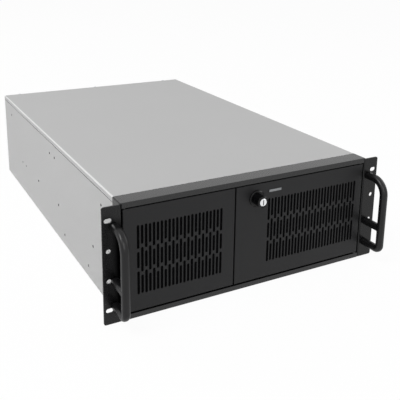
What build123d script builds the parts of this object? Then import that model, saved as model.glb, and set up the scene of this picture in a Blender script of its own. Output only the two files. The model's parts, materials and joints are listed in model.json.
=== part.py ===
from build123d import *
import os

# Rackmount server case with two vented front doors.
# X points to the right as seen from the front, Y to the rear and Z up, in millimetres.
# The origin is the middle of the base: halfway across, halfway along and at the bottom.

# Overall size
rack_width = 482.6
rack_unit = 44.45
units_high = 4
height_relief = 0.8
ear_reach = 26.3
body_width = rack_width - 2 * ear_reach
case_depth = 700.0
sheet = 1.2
fold_radius = 1.5
body_height = units_high * rack_unit - height_relief
body_half = body_width / 2
front_y = -case_depth / 2
rear_y = case_depth / 2

# Clearances
seat_gap = 0.3
screw_clearance = 0.1
running_gap = 0.05
thread_gap = 0.05

# Front frame: rails above and below the doors, and the plate behind them
frame_depth = 28.0
top_rail_height = 7.8
bottom_rail_height = 8.0
rail_end_inset = 2.6
frame_end_radius = 1.1
frame_flange_start = 12.0
rail_half = body_half - rail_end_inset

# Rack ears
ear_thickness = 2.0
ear_fold_radius = 2.5
ear_corner_radius = 3.0
ear_bottom = 0.7
ear_top_gap = 0.2
ear_hole_inset = 8.75
ear_hole_spacing = rack_width - 2 * ear_hole_inset
ear_hole_radius = 3.5
ear_slot_length = 11.0
ear_screw_radius = 2.0
ear_screw_head_radius = 3.8
ear_screw_head_depth = 1.6
ear_screw_setback = 20.0
ear_top = body_height - sheet - ear_top_gap
ear_inner = body_half - ear_thickness
ear_middle = units_high * rack_unit / 2 - height_relief / 2

# Handles with three legs
handle_offset = 9.0
handle_x = body_half + handle_offset
handle_width = 12.0
handle_reach = 44.0
handle_bar = 13.0
handle_leg = 12.0
handle_top_leg_z = 145.5
handle_middle_leg_z = 65.0
handle_bottom_leg_z = 27.5
handle_top_radius = 30.0
handle_bottom_radius = 9.0
handle_inner_radius = 4.0
handle_round = 4.2
handle_screw_radius = 2.5
handle_screw_grip = 10.0
handle_screw_head_radius = 4.2
handle_screw_head_height = 2.6

# What stands across the front, set out from the right wall to the left
bay_side_gap = 16.8
bay_width = 148.4
bay_centre_x = body_half - bay_side_gap - bay_width / 2
panel_bay_gap = 13.8
panel_width = 48.0
panel_left = bay_centre_x - bay_width / 2 - panel_bay_gap - panel_width
panel_bottom = 26.0
panel_height = 92.0
panel_step = panel_height / 46
panel_split_gap = 20.8
door_split_x = panel_left - panel_split_gap
lock_offset = 36.8
lock_x = door_split_x + lock_offset

# Doors
door_front = 0.5
door_thickness = 14.5
door_height_gap = 2.0
door_side_gap = 2.0
door_middle_gap = 2.0
door_fold_radius = 1.2
door_left_end = -(ear_inner - door_side_gap)
door_right_end = ear_inner - door_side_gap
door_left_free = door_split_x - door_middle_gap / 2
door_right_free = door_split_x + door_middle_gap / 2
door_bottom = bottom_rail_height + door_height_gap
door_top = body_height - top_rail_height - door_height_gap
door_back = door_front + door_thickness

# Hinge pins
pin_radius = 2.0
pin_inset = 3.5
pin_reach = 2.2
washer_radius = 4.0
hinge_x = door_right_end - pin_inset
hinge_depth = door_front + pin_inset

# Vent slots, in three rows that alternate from column to column
vent_pitch = 6.0
vent_slot_width = 3.9
vent_end_runs = 4
vent_web = 4.4
vent_left_margin = 22.0
vent_split_margin = 23.2
vent_lock_margin = 23.1
vent_right_margin = 15.9
left_vent_run = door_left_free - vent_split_margin - door_left_end - vent_left_margin
left_vent_columns = int(left_vent_run / vent_pitch + 0.01) + 1
left_vent_centre_x = door_left_end + vent_left_margin + (left_vent_columns - 1) * vent_pitch / 2
right_vent_run = door_right_end - vent_right_margin - lock_x - vent_lock_margin
right_vent_columns = int(right_vent_run / vent_pitch + 0.01) + 1
right_vent_centre_x = lock_x + vent_lock_margin + (right_vent_columns - 1) * vent_pitch / 2
vent_centre_z = body_height / 2 - 0.5
short_middle_slot = 25.1
long_outer_slot = 35.8
long_middle_slot = 37.6
short_outer_slot = 28.8

# Foam filters and their frames
filter_margin = 4.0
filter_thickness = 4.0
filter_frame_width = 7.0
filter_rib_width = 5.0

# Lock in the right door
lock_z = 144.5
lock_collar_radius = 13.0
lock_collar_height = 3.0
lock_body_radius = 9.0
lock_reach = 18.0
lock_shank_end = 9.5
lock_core_radius = 5.8
lock_core_stand = 0.6
lock_nut_flats = 22.0
lock_nut_height = 4.0
key_slot_width = 1.6
key_slot_height = 8.0
key_slot_depth = 14.0
cam_width = 10.0
cam_length = 26.0
cam_thickness = 2.0
cam_gap = 1.5

# Keeper that the cam turns behind, and catch for the left door
keeper_clearance = 1.6
keeper_width = 12.0
keeper_height = 14.0
keeper_thickness = 1.5
keeper_slack = 2.0
keeper_foot = 14.0
catch_width = 14.0
catch_height = 17.0
catch_z = 88.0
strike_width = 14.0
strike_height = 24.0

# Front fan
front_fan_size = 120.0
rear_fan_size = 80.0
fan_thickness = 25.0
fan_wall = 2.0
fan_hub_share = 0.34
fan_axle_radius = 1.5
fan_blades = 7
fan_blade_angle = 38.0
fan_blade_thickness = 1.8
fan_blade_camber = 55.0
fan_corner_radius = 4.0
fan_tip_gap = 1.5
fan_strut_width = 5.0
fan_strut_thickness = 3.0
fan_hole_pitch_share = 0.875
fan_hole_radius = 2.2
grille_rings = 3
grille_bar = 4.0
grille_spoke = 4.0

# Drive bays behind the right door
bay_count = 3
bay_height = 42.2
bay_cover_gap = 0.3
bay_cover_wall = 2.0
bay_cover_depth = 11.0
bay_cover_stand = 3.0
bay_bottom = 24.0
cage_length = 190.0
cage_foot = 12.0
cage_slot_length = 14.0
cage_slot_width = 3.6
disk_cage_width = 104.0
disk_cage_height = 132.0
disk_cage_length = 150.0
disk_cage_start = 66.0
disk_rows = 4
disk_pitch = 30.0

# Switch panel between the lock and the bays
panel_stand = 5.0
panel_wall = 2.0
panel_x = panel_left + panel_width / 2
power_button_radius = 7.0
power_button_z = panel_bottom + 37 * panel_step
reset_button_radius = 3.5
reset_button_z = panel_bottom + 27 * panel_step
button_gap = 0.1
button_stand = 2.6
button_travel = 2.0
button_flange = 1.5
button_flange_thickness = 1.2
button_flange_gap = 0.2
button_stem_radius = 2.0
board_depth = 32.0
board_thickness = 1.6
board_post_radius = 2.5
board_post_inset = 5.0
lamp_radius = 1.5
lamp_stand = 0.5
lamp_z = panel_bottom + 20 * panel_step
lamp_pitch = 9.0
lamp_count = 4
usb_width = 13.2
usb_height = 5.8
usb_floor = 1.2
usb_wall = 0.4
usb_tongue = 1.8
usb_top_z = panel_bottom + 13 * panel_step
usb_pitch = 7 * panel_step
usb_count = 2

# Top cover
cover_flange_height = 7.6
cover_seam_gap = 0.9
cover_rear_flange = 12.0
thumb_radius = 6.0
thumb_height = 7.0
thumb_shank_radius = 2.0
thumb_shank_length = 8.0
thumb_side_margin = 35.0
thumb_spacing = body_half - thumb_side_margin
thumb_count = 3

# Chassis pan
lip_height = 26.0
rim_width = 13.0
side_hole_radius = 2.25
upper_row_z = 147.0
middle_row_z = 64.0
lower_row_z = 20.0
upper_row_depths = (75.0, 312.0, 342.0, 639.0)
middle_row_depths = (116.0, 297.0, 431.0, 529.0, 557.0)
lower_row_depths = (141.0, 266.0)

# Rear panel
rear_flange = 12.0
supply_side_margin = 12.0
supply_width = 84.0
supply_height = 146.0
supply_left = -body_half + supply_side_margin
supply_bottom = 14.0
supply_port_web = 11.0
port_width = 158.8
port_height = 44.5
port_left = supply_left + supply_width + supply_port_web
port_bottom = 9.5
card_side_margin = 25.0
card_pitch = 20.32
card_port_gap = 17.28
first_card_x = body_half - card_side_margin
card_run = first_card_x - port_left - port_width - card_port_gap
card_count = int(card_run / card_pitch + 0.01) + 1
card_opening_width = 13.0
card_opening_height = 98.0
card_opening_bottom = 12.0
card_shelf_z = 118.0
card_shelf_depth = 12.0
card_shelf_overhang = 2.0
slot_cover_gap = 1.92
slot_cover_width = card_pitch - slot_cover_gap
slot_cover_thickness = 0.9
card_screw_radius = 1.6
card_screw_head_radius = 3.2
card_screw_head_height = 2.2
card_screw_setback = 6.0
rear_fan_web = 3.0
rear_fan_pitch = 84.0
rear_left_fan_x = supply_left + supply_width + rear_fan_web + rear_fan_size / 2
rear_fan_centres_x = (rear_left_fan_x + rear_fan_pitch, rear_left_fan_x)
rear_fan_z = 113.0

# Motherboard standoffs, card bar and supply shelf
standoff_radius = 3.0
standoff_height = 6.5
standoff_port_gap = 2.9
standoff_start = port_left - standoff_port_gap
standoff_run = first_card_x - standoff_start
standoff_shares = (0.0, 0.5231, 0.9369)
standoff_rows = (18.0, 172.9, 245.3)
bar_setback = 215.0
bar_width = 22.0
bar_height = 12.0
bar_top = 171.0
shelf_length = 140.0
supply_gap = 2.0
shelf_margin = 4.0
shelf_width = supply_width + 2 * shelf_margin


def depth(distance):
    """Y of the plane that lies this far behind the front of the ears."""
    return front_y + distance


def block(x_range, y_range, z_range):
    """Box between two planes on each axis."""
    ranges = (x_range, y_range, z_range)
    size = [high - low for low, high in ranges]
    centre = [(high + low) / 2 for low, high in ranges]
    return Pos(*centre) * Box(*size)


def rod_x(y, z, radius, x_start, x_end):
    return Pos((x_start + x_end) / 2, y, z) * Rot(0, 90, 0) * Cylinder(radius, abs(x_end - x_start))


def rod_y(x, z, radius, y_start, y_end):
    return Pos(x, (y_start + y_end) / 2, z) * Rot(90, 0, 0) * Cylinder(radius, abs(y_end - y_start))


def rod_z(x, y, radius, z_start, z_end):
    return Pos(x, y, (z_start + z_end) / 2) * Cylinder(radius, abs(z_end - z_start))


def both_sides(part):
    """The part on the right and its mirror image on the left."""
    return part + mirror(part, about=Plane.YZ)


def group(solids):
    """Several separate solids in one shape."""
    return Compound(children=[solid for shape in solids for solid in shape.solids()])


def save(name, shape):
    export_step(shape, f"parts/{name}.step")


def chassis_pan():
    """Base and side walls folded from one sheet, with joggled lips under the cover."""
    wall_inner = body_half - sheet
    lip_inner = wall_inner - sheet
    seam_z = body_height - cover_flange_height
    length = (depth(frame_depth), rear_y)
    base = block((-body_half, body_half), length, (0, sheet))
    wall = block((wall_inner, body_half), length, (0, seam_z - cover_seam_gap))
    lip = block((lip_inner, wall_inner), length, (seam_z - lip_height, body_height - sheet))
    rim_height = (body_height - 2 * sheet, body_height - sheet)
    rim = block((wall_inner - rim_width, wall_inner), length, rim_height)
    front_tab = block(
        (wall_inner - rim_width, wall_inner),
        (depth(frame_depth), depth(frame_depth + sheet)),
        (0, body_height - sheet),
    )
    pan = base + both_sides(wall + lip + rim + front_tab)
    bottom_folds = pan.edges().filter_by(Axis.Y).group_by(Axis.Z)[0]
    pan = fillet(bottom_folds, fold_radius)
    rows = {upper_row_z: upper_row_depths, middle_row_z: middle_row_depths, lower_row_z: lower_row_depths}
    for z, distances in rows.items():
        for distance in distances:
            pan -= rod_x(depth(distance), z, side_hole_radius, -body_half - sheet, body_half + sheet)
    return pan


def thumb_positions():
    first = -(thumb_count - 1) / 2 * thumb_spacing
    return [first + index * thumb_spacing for index in range(thumb_count)]


def thumb_z():
    return body_height - cover_rear_flange / 2


def top_cover():
    """Cover with folded side and rear flanges."""
    wall_inner = body_half - sheet
    length = (depth(frame_depth), rear_y + sheet)
    plate = block((-body_half, body_half), length, (body_height - sheet, body_height))
    flange = block((wall_inner, body_half), length, (body_height - cover_flange_height, body_height))
    rear = block(
        (-body_half, body_half),
        (rear_y, rear_y + sheet),
        (body_height - cover_rear_flange, body_height),
    )
    cover = plate + both_sides(flange) + rear
    folds = cover.edges().filter_by(Axis.Y).group_by(Axis.Z)[-1]
    cover = fillet(folds, fold_radius)
    hole_radius = thumb_shank_radius + screw_clearance
    for x in thumb_positions():
        cover -= rod_y(x, thumb_z(), hole_radius, rear_y - sheet, rear_y + 2 * sheet)
    return cover


def cover_thumbscrews():
    screws = []
    for x in thumb_positions():
        head = rod_y(x, thumb_z(), thumb_radius, rear_y + sheet, rear_y + sheet + thumb_height)
        head = chamfer(head.edges().filter_by(GeomType.CIRCLE), 0.8)
        shank = rod_y(x, thumb_z(), thumb_shank_radius, rear_y + sheet - thumb_shank_length, rear_y + sheet)
        screws.append(head + shank)
    return group(screws)


def ear_screw_heights():
    return (ear_middle - rack_unit * 1.25, ear_middle, ear_middle + rack_unit * 1.25)


def pin_places():
    """X, the rail's face and the way into the door for each hinge pin."""
    top_face = body_height - top_rail_height
    for x in (-hinge_x, hinge_x):
        yield x, top_face, -1
        yield x, bottom_rail_height, 1


def grille_cuts(x, z, radius, y_start, y_end):
    """Ring slots with four spokes left between them."""
    step = (radius + grille_bar) / (grille_rings + 0.5)
    cuts = []
    for ring in range(grille_rings):
        outer = radius - ring * step
        inner = outer - step + grille_bar
        cuts.append(rod_y(x, z, outer, y_start, y_end) - rod_y(x, z, inner, y_start, y_end))
    slots = cuts[0] + cuts[1:]
    spokes = Pos(x, (y_start + y_end) / 2, z) * Box(2 * radius, y_end - y_start, grille_spoke)
    spokes += Pos(x, (y_start + y_end) / 2, z) * Box(grille_spoke, y_end - y_start, 2 * radius)
    return slots - spokes


def front_frame():
    """Folded black front: rails, plate with its openings, and side flanges for the ears."""
    plate_front = depth(frame_depth - sheet)
    plate_back = depth(frame_depth)
    top_face = body_height - top_rail_height
    front = (depth(0), depth(sheet))
    run = (depth(0), plate_back)
    frame = block((-ear_inner, ear_inner), (plate_front, plate_back), (0, body_height))
    top = block((-body_half, body_half), run, (body_height - sheet, body_height))
    frame += fillet(top.edges().filter_by(Axis.Y).group_by(Axis.Z)[-1], frame_end_radius)
    frame += block((-rail_half, rail_half), front, (top_face, body_height))
    frame += block((-rail_half, rail_half), run, (top_face, top_face + sheet))
    frame += block((-rail_half, rail_half), run, (0, sheet))
    frame += block((-rail_half, rail_half), front, (0, bottom_rail_height))
    frame += block((-rail_half, rail_half), run, (bottom_rail_height - sheet, bottom_rail_height))
    flange_run = (depth(frame_flange_start), plate_back)
    frame += both_sides(block((ear_inner - sheet, ear_inner), flange_run, (bottom_rail_height, top_face)))
    front_folds = frame.edges().filter_by(Axis.X).group_by(Axis.Y)[0]
    frame = fillet([front_folds.sort_by(Axis.Z)[0], front_folds.sort_by(Axis.Z)[-1]], 1.0)
    cut = (plate_front - sheet, plate_back + sheet)
    fan_bore = front_fan_size / 2 - fan_wall
    frame -= grille_cuts(left_vent_centre_x, vent_centre_z, fan_bore, *cut)
    frame -= block(
        (bay_centre_x - bay_width / 2, bay_centre_x + bay_width / 2),
        cut,
        (bay_bottom, bay_bottom + bay_count * bay_height),
    )
    frame -= block(
        (panel_left + panel_wall, panel_left + panel_width - panel_wall),
        cut,
        (panel_bottom + panel_wall, panel_bottom + panel_height - panel_wall),
    )
    for x, face, way in pin_places():
        frame -= rod_z(x, depth(hinge_depth), pin_radius, face - 2 * way * sheet, face + way * sheet)
    for z in ear_screw_heights():
        frame -= rod_x(depth(ear_screw_setback), z, ear_screw_radius + thread_gap, -body_half, body_half)
    return frame


def right_ear():
    """Rack ear: front flange with rack holes, and a return flange along the frame."""
    flange = block((ear_inner, rack_width / 2), (depth(0), depth(ear_thickness)), (ear_bottom, ear_top))
    corners = flange.edges().filter_by(Axis.Y).group_by(Axis.X)[-1]
    flange = fillet(corners, ear_corner_radius)
    ear = flange + block((ear_inner, body_half), (depth(0), depth(frame_depth)), (ear_bottom, ear_top))
    fold = ear.edges().filter_by(Axis.Z).group_by(Axis.X)[0].sort_by(Axis.Y)[0]
    ear = fillet(fold, ear_fold_radius)
    hole_x = ear_hole_spacing / 2
    face = Plane((hole_x, depth(ear_thickness), ear_middle), x_dir=(1, 0, 0), z_dir=(0, -1, 0))
    slot = SlotOverall(ear_slot_length, 2 * ear_hole_radius)
    slot_offset = (units_high - 1) / 2 * rack_unit
    hole_offset = rack_unit / 2
    holes = Sketch() + [Pos(0, z) * slot for z in (-slot_offset, slot_offset)]
    holes += [Pos(0, z) * Circle(ear_hole_radius) for z in (-hole_offset, hole_offset)]
    ear -= extrude(face * holes, amount=ear_thickness)
    for z in ear_screw_heights():
        y = depth(ear_screw_setback)
        ear -= rod_x(y, z, ear_screw_radius + screw_clearance, ear_inner, body_half)
        ear -= ear_screw_head(y, z)
    for z in (handle_top_leg_z, handle_middle_leg_z, handle_bottom_leg_z):
        ear -= rod_y(handle_x, z, handle_screw_radius + screw_clearance, depth(0), depth(ear_thickness))
    return ear


def ear_screw_head(y, z):
    """Countersunk head, flush with the side."""
    cone = Cone(ear_screw_head_radius, ear_screw_radius, ear_screw_head_depth)
    return Pos(body_half - ear_screw_head_depth / 2, y, z) * Rot(0, -90, 0) * cone


def ear_screws():
    screws = []
    y = depth(ear_screw_setback)
    for z in ear_screw_heights():
        shank_start = body_half - ear_screw_head_depth
        screw = ear_screw_head(y, z) + rod_x(y, z, ear_screw_radius, ear_inner - sheet - 1, shank_start)
        screws.append(screw)
        screws.append(mirror(screw, about=Plane.YZ))
    return group(screws)


def right_handle():
    """Bar on three legs, wide bend at the top and a tight one at the bottom."""
    top = handle_top_leg_z + handle_leg / 2
    bottom = handle_bottom_leg_z - handle_leg / 2
    side = Plane((handle_x, 0, 0), x_dir=(0, 1, 0), z_dir=(1, 0, 0))
    outline = Pos(depth(-handle_reach / 2), (top + bottom) / 2) * Rectangle(handle_reach, top - bottom)
    front_corners = outline.vertices().group_by(Axis.X)[0].sort_by(Axis.Y)
    outline = fillet(front_corners[-1], handle_top_radius)
    front_corners = outline.vertices().group_by(Axis.X)[0].sort_by(Axis.Y)
    outline = fillet(front_corners[0], handle_bottom_radius)
    outline -= handle_window(handle_middle_leg_z, handle_top_leg_z, handle_top_radius - handle_leg)
    outline -= handle_window(handle_bottom_leg_z, handle_middle_leg_z, handle_inner_radius)
    handle = extrude(side * outline, amount=handle_width / 2, both=True)
    faces = handle.faces().filter_by(Axis.X)
    rims = [edge for face in faces for edge in face.edges() if edge.center().Y < depth(0) - 0.001]
    handle = fillet(rims, handle_round)
    bore_radius = handle_screw_radius + thread_gap
    for z in (handle_top_leg_z, handle_middle_leg_z, handle_bottom_leg_z):
        handle -= rod_y(handle_x, z, bore_radius, depth(-handle_screw_grip - 1), depth(0))
    return handle


def handle_window(lower_leg_z, upper_leg_z, top_radius):
    """Finger gap between two legs, open towards the ear."""
    reach = handle_reach - handle_bar
    low = lower_leg_z + handle_leg / 2
    high = upper_leg_z - handle_leg / 2
    middle = depth((handle_leg - reach) / 2)
    window = Pos(middle, (low + high) / 2) * Rectangle(reach + handle_leg, high - low)
    corners = window.vertices().group_by(Axis.X)[0].sort_by(Axis.Y)
    window = fillet(corners[-1], top_radius)
    corners = window.vertices().group_by(Axis.X)[0].sort_by(Axis.Y)
    return fillet(corners[0], handle_inner_radius)


def handle_screws():
    screws = []
    for z in (handle_top_leg_z, handle_middle_leg_z, handle_bottom_leg_z):
        back = depth(ear_thickness)
        head = rod_y(handle_x, z, handle_screw_head_radius, back, back + handle_screw_head_height)
        head = chamfer(head.edges().filter_by(GeomType.CIRCLE).sort_by(Axis.Y)[-1], 0.8)
        screw = head + rod_y(handle_x, z, handle_screw_radius, depth(-handle_screw_grip), back)
        screws.append(screw)
        screws.append(mirror(screw, about=Plane.YZ))
    return group(screws)


def vent_half_width(columns):
    return (columns - 1) / 2 * vent_pitch + vent_slot_width / 2


def vent_half_height():
    return short_middle_slot / 2 + vent_web + long_outer_slot


def slot_outline(length):
    """Upright slot whose round ends are drawn with a few straight runs."""
    radius = vent_slot_width / 2
    reach = length / 2 - radius
    corners = []
    for way in (1, -1):
        for run in range(vent_end_runs + 1):
            angle = 180 * run / vent_end_runs
            corners.append((way * radius * cos_degrees(angle), way * (reach + radius * sin_degrees(angle))))
    return Polygon(*corners, align=None)


def vent_slots(centre_x, columns):
    """Three rows of upright slots whose breaks step up and down from column to column."""
    slots = []
    for column in range(columns):
        x = (column - (columns - 1) / 2) * vent_pitch
        middle = short_middle_slot if column % 2 == 0 else long_middle_slot
        outer = long_outer_slot if column % 2 == 0 else short_outer_slot
        offset = middle / 2 + vent_web + outer / 2
        for z, length in ((-offset, outer), (0, middle), (offset, outer)):
            slots.append(Pos(x, z) * slot_outline(length))
    face = Plane((centre_x, depth(door_front + sheet), vent_centre_z), x_dir=(1, 0, 0), z_dir=(0, -1, 0))
    return extrude(face * (Sketch() + slots), amount=sheet)


def door(x_start, x_end, pivot_x, vents):
    """Sheet tray with folded edges, slots and holes for its two pins."""
    height = (door_bottom, door_top)
    leaf = block((x_start, x_end), (depth(door_front), depth(door_back)), height)
    front_edges = leaf.faces().sort_by(Axis.Y)[0].edges()
    leaf = fillet(front_edges, door_fold_radius)
    leaf -= block(
        (x_start + sheet, x_end - sheet),
        (depth(door_front + sheet), depth(door_back)),
        (door_bottom + sheet, door_top - sheet),
    )
    leaf -= vents
    return leaf - rod_z(pivot_x, depth(hinge_depth), pin_radius + running_gap, 0, body_height)


def left_door():
    vents = vent_slots(left_vent_centre_x, left_vent_columns)
    leaf = door(door_left_end, door_left_free, -hinge_x, vents)
    strike = block(
        (door_left_free - strike_width, door_left_free),
        (depth(door_back - sheet), depth(door_back)),
        (catch_z - strike_height / 2, catch_z + strike_height / 2),
    )
    return leaf + strike


def right_door():
    vents = vent_slots(right_vent_centre_x, right_vent_columns)
    leaf = door(door_right_free, door_right_end, hinge_x, vents)
    return leaf - rod_y(lock_x, lock_z, lock_body_radius + screw_clearance, depth(0), depth(door_back))


def hinge_pins():
    pins = []
    for x, face, way in pin_places():
        end = face + way * (door_height_gap + pin_reach)
        pins.append(rod_z(x, depth(hinge_depth), pin_radius, face - way * 2 * sheet, end))
    return group(pins)


def door_washers():
    """Washers that carry the doors on the bottom rail."""
    washers = []
    for x in (-hinge_x, hinge_x):
        ring = rod_z(x, depth(hinge_depth), washer_radius, bottom_rail_height, door_bottom)
        ring -= rod_z(x, depth(hinge_depth), pin_radius + running_gap, bottom_rail_height, door_bottom)
        washers.append(ring)
    return group(washers)


def filter_size(columns):
    half_width = vent_half_width(columns) + filter_margin
    half_height = vent_half_height() + filter_margin
    return half_width, half_height


def foam_filter(centre_x, columns):
    half_width, half_height = filter_size(columns)
    start = depth(door_front + sheet)
    return block(
        (centre_x - half_width, centre_x + half_width),
        (start, start + filter_thickness),
        (vent_centre_z - half_height, vent_centre_z + half_height),
    )


def filter_frame(centre_x, columns):
    """Tray edge and window bars that hold the foam against the door."""
    half_width, half_height = filter_size(columns)
    start = depth(door_front + sheet)
    back = start + filter_thickness + sheet
    outer = block(
        (centre_x - half_width - sheet, centre_x + half_width + sheet),
        (start, back),
        (vent_centre_z - half_height - sheet, vent_centre_z + half_height + sheet),
    )
    foam = foam_filter(centre_x, columns)
    inner_width = half_width - filter_frame_width
    inner_height = half_height - filter_frame_width
    window = block(
        (centre_x - inner_width, centre_x + inner_width),
        (start, back),
        (vent_centre_z - inner_height, vent_centre_z + inner_height),
    )
    bars = block(
        (centre_x - inner_width, centre_x + inner_width),
        (back - sheet, back),
        (vent_centre_z - filter_rib_width / 2, vent_centre_z + filter_rib_width / 2),
    )
    bars += block(
        (centre_x - filter_rib_width / 2, centre_x + filter_rib_width / 2),
        (back - sheet, back),
        (vent_centre_z - inner_height, vent_centre_z + inner_height),
    )
    return outer - foam - window + bars


def lock_body():
    """Collar and barrel in front of the door, threaded shank behind."""
    face = depth(door_front)
    nose = face - lock_reach
    collar = rod_y(lock_x, lock_z, lock_collar_radius, face - lock_collar_height, face)
    collar = chamfer(collar.edges().filter_by(GeomType.CIRCLE).sort_by(Axis.Y)[0], 1.2)
    barrel = rod_y(lock_x, lock_z, lock_body_radius, nose, depth(lock_shank_end))
    barrel = chamfer(barrel.edges().filter_by(GeomType.CIRCLE).sort_by(Axis.Y)[0], 1.0)
    bore = rod_y(lock_x, lock_z, lock_core_radius + running_gap, nose, depth(lock_shank_end))
    return collar + barrel - bore


def lock_nut():
    start = depth(door_front + sheet)
    face = Plane((lock_x, start, lock_z), x_dir=(1, 0, 0), z_dir=(0, 1, 0))
    nut = extrude(face * RegularPolygon(lock_nut_flats / 2, 6, major_radius=False), amount=lock_nut_height)
    return nut - rod_y(lock_x, lock_z, lock_body_radius + thread_gap, start, start + lock_nut_height)


def cam_start():
    return depth(lock_shank_end + cam_gap)


def lock_core():
    """Turning core with an upright key slot and a square tail that carries the cam."""
    nose = depth(door_front) - lock_reach - lock_core_stand
    core = rod_y(lock_x, lock_z, lock_core_radius, nose, cam_start())
    core = chamfer(core.edges().filter_by(GeomType.CIRCLE).sort_by(Axis.Y)[0], 0.5)
    core -= block(
        (lock_x - key_slot_width / 2, lock_x + key_slot_width / 2),
        (nose, nose + key_slot_depth),
        (lock_z - key_slot_height / 2, lock_z + key_slot_height / 2),
    )
    return core


def lock_cam():
    """Cam that hangs down when the door is free to open."""
    start = cam_start()
    face = Plane((lock_x, start + cam_thickness, lock_z), x_dir=(1, 0, 0), z_dir=(0, -1, 0))
    reach = cam_length + cam_width / 2
    tongue = Pos(0, -cam_length / 2 + cam_width / 4) * SlotOverall(reach, cam_width, rotation=90)
    return extrude(face * (tongue + Circle(lock_core_radius)), amount=cam_thickness)


def lock_keeper():
    """Folded hook on the front plate that the cam turns behind."""
    plate_front = depth(frame_depth - sheet)
    stem_x = door_right_free + sheet + keeper_clearance
    hook_back = cam_start() - keeper_slack
    height = (lock_z - keeper_height / 2, lock_z + keeper_height / 2)
    hook = block((stem_x, stem_x + keeper_width), (hook_back - keeper_thickness, hook_back), height)
    stem = block((stem_x, stem_x + keeper_thickness), (hook_back - keeper_thickness, plate_front), height)
    foot = block((stem_x, stem_x + keeper_foot), (plate_front - keeper_thickness, plate_front), height)
    return hook + stem + foot


def magnet_catch():
    """Magnet block that holds the left door shut."""
    end_x = door_left_free - sheet - seat_gap
    start = depth(door_back + seat_gap)
    catch = block(
        (end_x - catch_width, end_x),
        (start, depth(frame_depth - sheet)),
        (catch_z - catch_height / 2, catch_z + catch_height / 2),
    )
    return chamfer(catch.faces().sort_by(Axis.Y)[0].edges(), 0.6)


def fan_frame(x, z, size, y_start):
    """Square fan housing with four struts that carry the motor hub."""
    half = size / 2
    y_end = y_start + fan_thickness
    frame = block((x - half, x + half), (y_start, y_end), (z - half, z + half))
    frame = fillet(frame.edges().filter_by(Axis.Y), fan_corner_radius)
    frame -= rod_y(x, z, half - fan_wall, y_start, y_end)
    hole = half * fan_hole_pitch_share
    for hole_x in (-hole, hole):
        for hole_z in (-hole, hole):
            frame -= rod_y(x + hole_x, z + hole_z, fan_hole_radius, y_start, y_end)
    strut_y = y_end - fan_strut_thickness / 2
    strut = Box(size - fan_wall, fan_strut_thickness, fan_strut_width)
    for angle in (45, 135):
        frame += Pos(x, strut_y, z) * Rot(0, angle, 0) * strut
    frame += rod_y(x, z, half * fan_hub_share, y_end - fan_strut_thickness, y_end)
    return frame - rod_y(x, z, fan_axle_radius + running_gap, y_end - fan_strut_thickness, y_end)


def blade_plate(span, chord):
    """Cambered strip along X, cut from the wall of a wide tube."""
    half = fan_blade_thickness / 2
    tube = Cylinder(fan_blade_camber + half, span) - Cylinder(fan_blade_camber - half, span)
    strip = tube & Pos(fan_blade_camber, 0, 0) * Box(fan_blade_camber, chord, span)
    return Rot(0, 0, 90) * Rot(90, 0, 0) * Pos(-fan_blade_camber, 0, 0) * strip


def fan_rotor(x, z, size, y_start):
    """Hub, pitched blades and the axle that runs in the housing."""
    half = size / 2
    hub_radius = half * fan_hub_share
    tip = half - fan_wall - fan_tip_gap
    hub_start = y_start + 1.0
    hub_end = y_start + fan_thickness - fan_strut_thickness - seat_gap
    middle = (hub_start + hub_end) / 2
    rotor = rod_y(x, z, hub_radius, hub_start, hub_end)
    rotor = chamfer(rotor.edges().filter_by(GeomType.CIRCLE).sort_by(Axis.Y)[0], 1.0)
    chord = (hub_end - hub_start) / sin_degrees(fan_blade_angle) * 0.82
    inner = hub_radius * 0.8
    half_chord = chord / 2 * cos_degrees(fan_blade_angle)
    outer = (tip ** 2 - half_chord ** 2) ** 0.5
    blade = Pos((inner + outer) / 2, 0, 0) * Rot(fan_blade_angle, 0, 0) * blade_plate(outer - inner, chord)
    for index in range(fan_blades):
        rotor += Pos(x, middle, z) * Rot(0, index * 360 / fan_blades, 0) * blade
    return rotor + rod_y(x, z, fan_axle_radius, hub_end, y_start + fan_thickness)


def sin_degrees(angle):
    return Vector(1, 0).rotate(Axis.Z, angle).Y


def cos_degrees(angle):
    return Vector(1, 0).rotate(Axis.Z, angle).X


def cage_slots(x, rows, start, length):
    """Screw slots through an upright cage wall."""
    slots = []
    for z in rows:
        for share in (0.25, 0.75):
            y = depth(start) + length * share
            run = (y - cage_slot_length / 2, y + cage_slot_length / 2)
            height = (z - cage_slot_width / 2, z + cage_slot_width / 2)
            slots.append(block((x - 2 * sheet, x + 2 * sheet), run, height))
    return slots


def drive_cage():
    """Cage for the wide bays: two walls, a top and two feet."""
    half = bay_width / 2
    length = (depth(frame_depth), depth(frame_depth + cage_length))
    top = bay_bottom + bay_count * bay_height + sheet
    wall = block((half, half + sheet), length, (sheet, top))
    foot = block((half - cage_foot, half), length, (sheet, 2 * sheet))
    lid = block((-half - sheet, half + sheet), length, (top, top + sheet))
    cage = both_sides(wall + foot) + lid
    rows = [bay_bottom + (index + 0.5) * bay_height for index in range(bay_count)]
    for side in (-half, half):
        for slot in cage_slots(side, rows, frame_depth, cage_length):
            cage -= slot
    return Pos(bay_centre_x, 0, 0) * cage


def bay_covers():
    """Blank covers, open at the back, one for each wide bay."""
    covers = []
    half = bay_width / 2 - bay_cover_gap
    start = depth(frame_depth - sheet - bay_cover_stand)
    for index in range(bay_count):
        low = bay_bottom + index * bay_height + bay_cover_gap
        high = low + bay_height - 2 * bay_cover_gap
        cover = block((-half, half), (start, start + bay_cover_depth), (low, high))
        cover = chamfer(cover.faces().sort_by(Axis.Y)[0].edges(), 0.8)
        cover -= block(
            (-half + bay_cover_wall, half - bay_cover_wall),
            (start + bay_cover_wall, start + bay_cover_depth),
            (low + bay_cover_wall, high - bay_cover_wall),
        )
        covers.append(Pos(bay_centre_x, 0, 0) * cover)
    return group(covers)


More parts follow.
